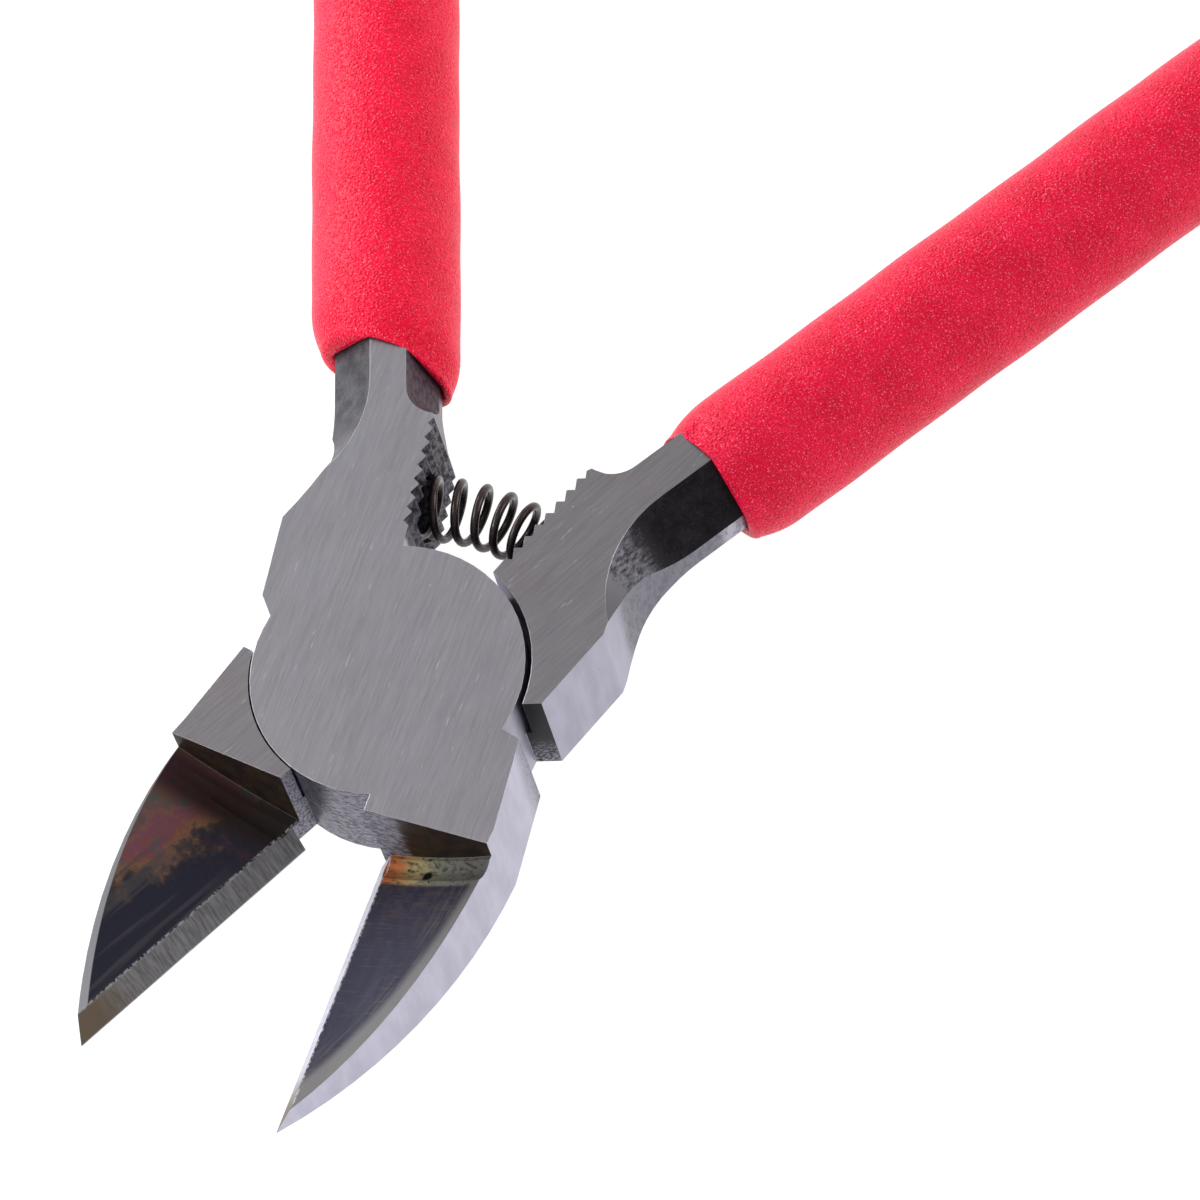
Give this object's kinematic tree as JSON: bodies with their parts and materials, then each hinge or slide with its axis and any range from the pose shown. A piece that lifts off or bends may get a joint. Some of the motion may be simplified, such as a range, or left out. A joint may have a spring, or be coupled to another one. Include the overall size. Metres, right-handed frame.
{
  "type": "side cutting nippers",
  "caption": "Spring-opened flush side cutters with a riveted lap joint, hollow-ground blades, serrated inner necks and dipped handle grips.",
  "frame": {"origin": "on the pivot axis, at the back face of the head", "axes": "+Z out of the front face along the pivot axis, +Y towards the handles, -Y towards the tips, midway between the open cutting edges"},
  "size_m": [0.1099, 0.1471, 0.0101],
  "materials": {
    "front_steel": "ground faces with black oxide in the falls and hollows",
    "back_steel": "ground faces with black oxide in the falls and hollows",
    "rivet_steel": "ground flush with the head",
    "spring_steel": "oil-blackened round wire",
    "front_grip_vinyl": "glossy dipped vinyl with an orange-peel skin",
    "back_grip_vinyl": "glossy dipped vinyl with an orange-peel skin"
  },
  "bodies": {
    "front": {"front_half": "front_steel", "pivot_rivet": "rivet_steel", "return_spring": "spring_steel", "front_grip": "front_grip_vinyl"},
    "back": {"back_half": "back_steel", "back_grip": "back_grip_vinyl"}
  },
  "joints": [
    {"name": "pivot", "type": "hinge", "parent": "front", "child": "back", "pos_m": [0, 0, 0], "axis": [0, 0, 1], "range_deg": [-12, 28.2], "stiffness_Nm_per_rad": 0.4, "deforming": ["return_spring"]}
  ]
}
